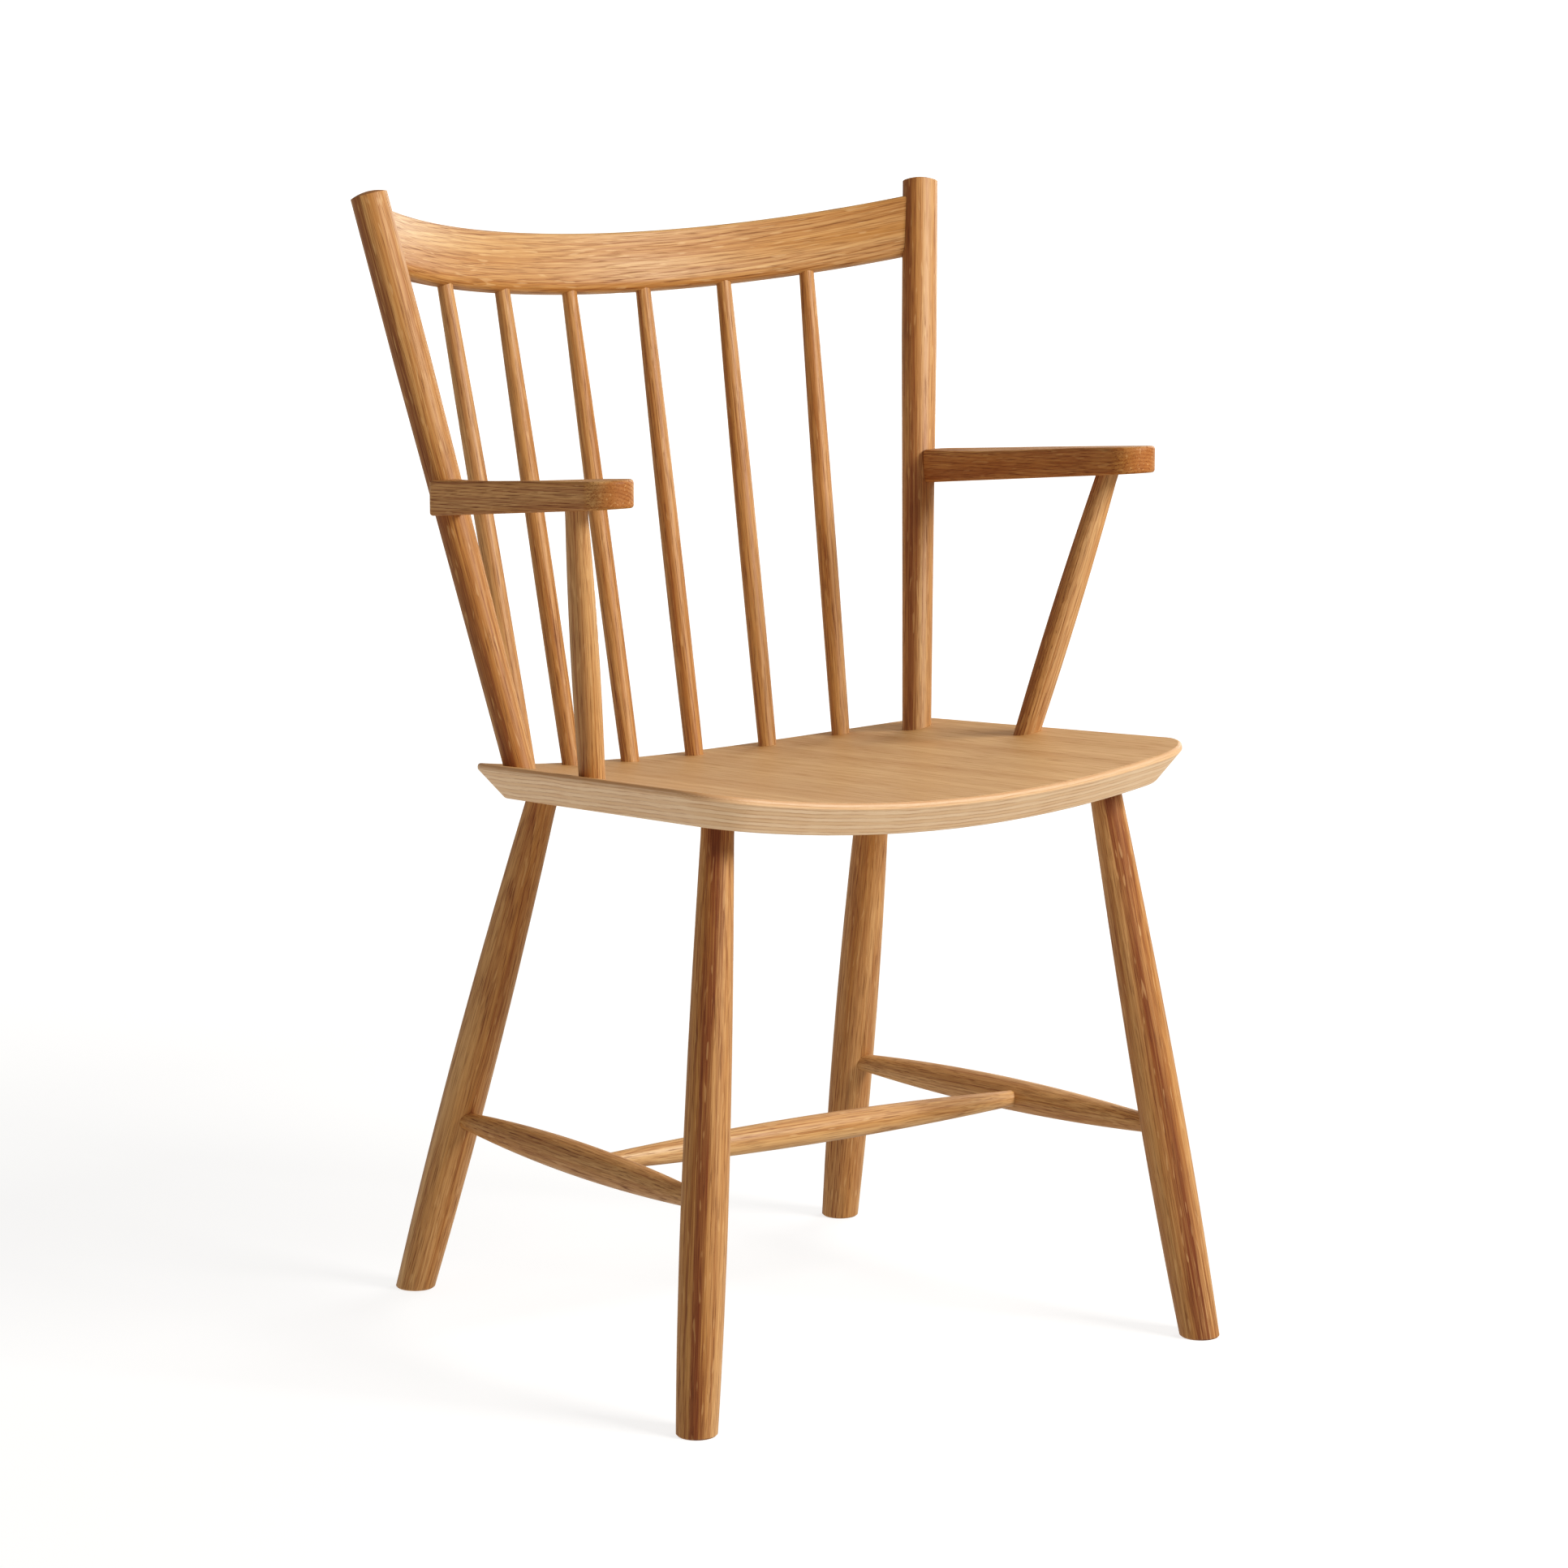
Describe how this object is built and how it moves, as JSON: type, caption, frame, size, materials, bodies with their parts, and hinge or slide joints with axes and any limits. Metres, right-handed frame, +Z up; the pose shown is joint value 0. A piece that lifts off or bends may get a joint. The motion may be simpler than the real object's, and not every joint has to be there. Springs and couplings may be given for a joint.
{
  "type": "wooden armchair",
  "caption": "Wooden armchair with splayed turned legs joined by stretchers, a dished plywood seat, a spindle back under a curved crest rail and short open arms.",
  "frame": {"origin": "on the floor, under the middle of the whole chair", "axes": "+Z up, -Y the way the sitter faces, +X the sitter's left"},
  "size_m": [0.5334, 0.5259, 0.8652],
  "materials": {
    "seat_oak": "matt oiled oak veneer on moulded plywood, layers showing at the rim",
    "crest_oak": "matt oiled oak, bent",
    "leg_oak": "matt oiled oak, turned",
    "turned_oak": "matt oiled oak, turned",
    "arm_oak": "matt oiled oak",
    "dowel_beech": "plain dowel, hidden in the joint"
  },
  "bodies": {
    "root": {"seat_panel": "seat_oak", "crest_rail": "crest_oak", "centre_stretcher": "turned_oak", "front_leg_left": "leg_oak", "front_leg_right": "leg_oak", "back_leg_left": "leg_oak", "back_leg_right": "leg_oak", "side_stretcher_left": "turned_oak", "side_stretcher_right": "turned_oak", "back_post_left": "turned_oak", "back_post_right": "turned_oak", "arm_support_left": "turned_oak", "arm_support_right": "turned_oak", "outer_spindle_left": "turned_oak", "outer_spindle_right": "turned_oak", "middle_spindle_left": "turned_oak", "middle_spindle_right": "turned_oak", "inner_spindle_left": "turned_oak", "inner_spindle_right": "turned_oak", "arm_left": "arm_oak", "arm_dowel_left": "dowel_beech", "arm_right": "arm_oak", "arm_dowel_right": "dowel_beech"}
  },
  "joints": []
}
